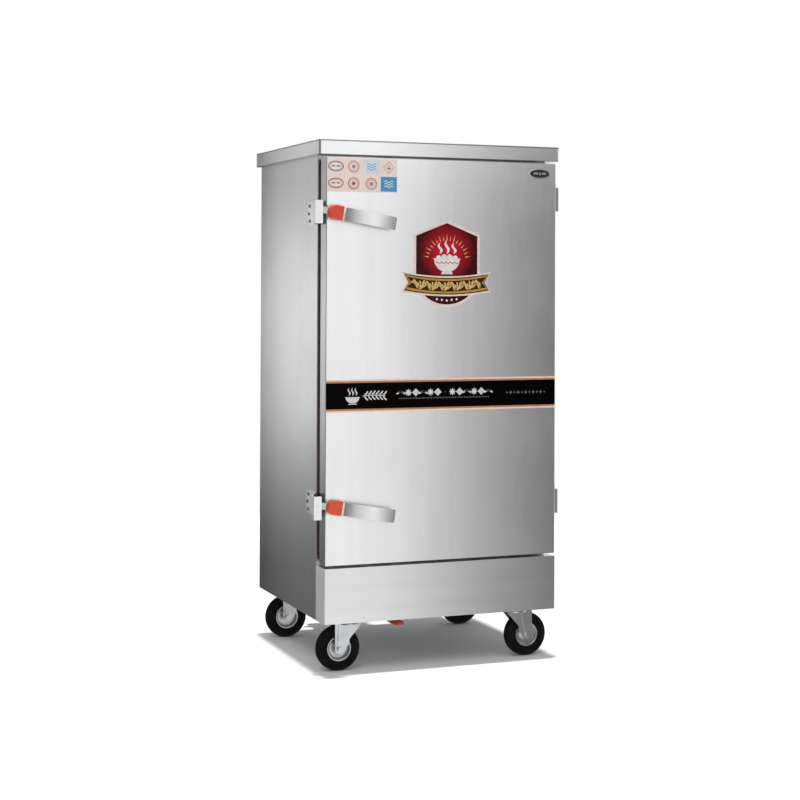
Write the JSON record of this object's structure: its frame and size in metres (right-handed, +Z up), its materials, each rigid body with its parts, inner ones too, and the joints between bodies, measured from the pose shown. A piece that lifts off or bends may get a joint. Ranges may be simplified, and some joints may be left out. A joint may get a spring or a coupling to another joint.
{
  "type": "rice steamer cabinet",
  "caption": "Upright insulated steaming cabinet on swivel casters, with a hinged door, lever latches, tray racks, a heated water tank, float supply, drain and steam vent.",
  "frame": {"origin": "middle of the whole part's box at floor level, under the casters", "axes": "+Z up, -Y out of the door's front, +X to the hinge side as seen from the front"},
  "size_m": [0.753, 0.7424, 1.471],
  "materials": {
    "shell_steel": "satin brushed stainless sheet",
    "door_steel": "bright brushed stainless sheet",
    "inner_steel": "smooth stainless sheet",
    "tray_steel": "drawn stainless",
    "chassis": "grey primer on steel angle",
    "insulating_foam": "open cut foam",
    "gasket_rubber": "matt dark red-brown rubber",
    "box_steel": "plain stainless sheet",
    "heater_steel": "heat-tinted steel tube",
    "valve_brass": "turned brass",
    "valve_lever": "plated steel with a red sleeve",
    "gland_plastic": "black moulded",
    "bracket_steel": "bright folded stainless",
    "lever_chrome": "polished",
    "red_plastic": "orange-red moulded",
    "screw_zinc": "zinc plated",
    "caster_zinc": "bright zinc plated pressing",
    "tyre_rubber": "black rubber"
  },
  "bodies": {
    "cabinet": {"left_side_panel": "shell_steel", "right_side_panel": "shell_steel", "back_panel": "shell_steel", "top_cover": "shell_steel", "lower_front_panel": "shell_steel", "mouth_frame": "shell_steel", "chamber_liner": "inner_steel", "tray_racks": "inner_steel", "water_tank": "inner_steel", "steam_baffle": "inner_steel", "rice_tray_01": "tray_steel", "rice_tray_02": "tray_steel", "rice_tray_03": "tray_steel", "rice_tray_04": "tray_steel", "rice_tray_05": "tray_steel", "rice_tray_06": "tray_steel", "rice_tray_07": "tray_steel", "rice_tray_08": "tray_steel", "rice_tray_09": "tray_steel", "rice_tray_10": "tray_steel", "rice_tray_11": "tray_steel", "rice_tray_12": "tray_steel", "base_frame": "chassis", "insulation": "insulating_foam", "supply_box": "box_steel", "supply_box_lid": "box_steel", "terminal_box": "box_steel", "steam_vent": "box_steel", "heating_elements": "heater_steel", "float_valve": "valve_brass", "drain_valve": "valve_brass", "cable_gland": "gland_plastic", "latch_keepers": "bracket_steel", "hinge_body_leaves": "bracket_steel", "body_screws": "screw_zinc", "caster_plates": "caster_zinc"},
    "door": {"door_skin": "door_steel", "door_inner_panel": "inner_steel", "door_foam": "insulating_foam", "door_gasket": "gasket_rubber", "hinge_door_leaves": "bracket_steel", "latch_bases": "bracket_steel"},
    "upper_latch": {"upper_latch_lever": "lever_chrome", "upper_latch_grip": "red_plastic"},
    "lower_latch": {"lower_latch_lever": "lever_chrome", "lower_latch_grip": "red_plastic"},
    "drain_handle": {"drain_lever": "valve_lever"},
    "float": {"float_arm": "valve_brass"},
    "front_left_swivel": {"front_left_caster_fork": "caster_zinc"},
    "front_left_wheel": {"front_left_wheel_rim": "caster_zinc", "front_left_tyre": "tyre_rubber"},
    "front_right_swivel": {"front_right_caster_fork": "caster_zinc"},
    "front_right_wheel": {"front_right_wheel_rim": "caster_zinc", "front_right_tyre": "tyre_rubber"},
    "rear_left_swivel": {"rear_left_caster_fork": "caster_zinc"},
    "rear_left_wheel": {"rear_left_wheel_rim": "caster_zinc", "rear_left_tyre": "tyre_rubber"},
    "rear_right_swivel": {"rear_right_caster_fork": "caster_zinc"},
    "rear_right_wheel": {"rear_right_wheel_rim": "caster_zinc", "rear_right_tyre": "tyre_rubber"}
  },
  "joints": [
    {"name": "door_hinge", "type": "hinge", "parent": "cabinet", "child": "door", "pos_m": [0.3685, -0.3188, 0.302], "axis": [0, 0, 1], "range_deg": [0, 180]},
    {"name": "upper_latch_pivot", "type": "hinge", "parent": "door", "child": "upper_latch", "pos_m": [-0.3195, -0.3452, 1.27], "axis": [0, -1, 0], "range_deg": [0, 70]},
    {"name": "lower_latch_pivot", "type": "hinge", "parent": "door", "child": "lower_latch", "pos_m": [-0.3195, -0.3452, 0.463], "axis": [0, -1, 0], "range_deg": [0, 70]},
    {"name": "drain_handle_pivot", "type": "hinge", "parent": "cabinet", "child": "drain_handle", "pos_m": [-0.0635, -0.0908, 0.124], "axis": [0, 0, 1], "range_deg": [0, 90]},
    {"name": "float_pivot", "type": "hinge", "parent": "cabinet", "child": "float", "pos_m": [-0.112, 0.3252, 0.322], "axis": [0, -1, 0], "range_deg": [0, 30]},
    {"name": "front_left_swivel_axis", "type": "hinge", "parent": "cabinet", "child": "front_left_swivel", "pos_m": [-0.2485, -0.2688, 0.136], "axis": [0, 0, 1], "continuous": true},
    {"name": "front_left_wheel_axle", "type": "hinge", "parent": "front_left_swivel", "child": "front_left_wheel", "pos_m": [-0.2775, -0.2688, 0.0625], "axis": [0, 1, 0], "continuous": true},
    {"name": "front_right_swivel_axis", "type": "hinge", "parent": "cabinet", "child": "front_right_swivel", "pos_m": [0.2675, -0.2688, 0.136], "axis": [0, 0, 1], "continuous": true},
    {"name": "front_right_wheel_axle", "type": "hinge", "parent": "front_right_swivel", "child": "front_right_wheel", "pos_m": [0.2965, -0.2688, 0.0625], "axis": [0, 1, 0], "continuous": true},
    {"name": "rear_left_swivel_axis", "type": "hinge", "parent": "cabinet", "child": "rear_left_swivel", "pos_m": [-0.2485, 0.2112, 0.136], "axis": [0, 0, 1], "continuous": true},
    {"name": "rear_left_wheel_axle", "type": "hinge", "parent": "rear_left_swivel", "child": "rear_left_wheel", "pos_m": [-0.2775, 0.2112, 0.0625], "axis": [0, 1, 0], "continuous": true},
    {"name": "rear_right_swivel_axis", "type": "hinge", "parent": "cabinet", "child": "rear_right_swivel", "pos_m": [0.2675, 0.2112, 0.136], "axis": [0, 0, 1], "continuous": true},
    {"name": "rear_right_wheel_axle", "type": "hinge", "parent": "rear_right_swivel", "child": "rear_right_wheel", "pos_m": [0.2965, 0.2112, 0.0625], "axis": [0, 1, 0], "continuous": true}
  ]
}
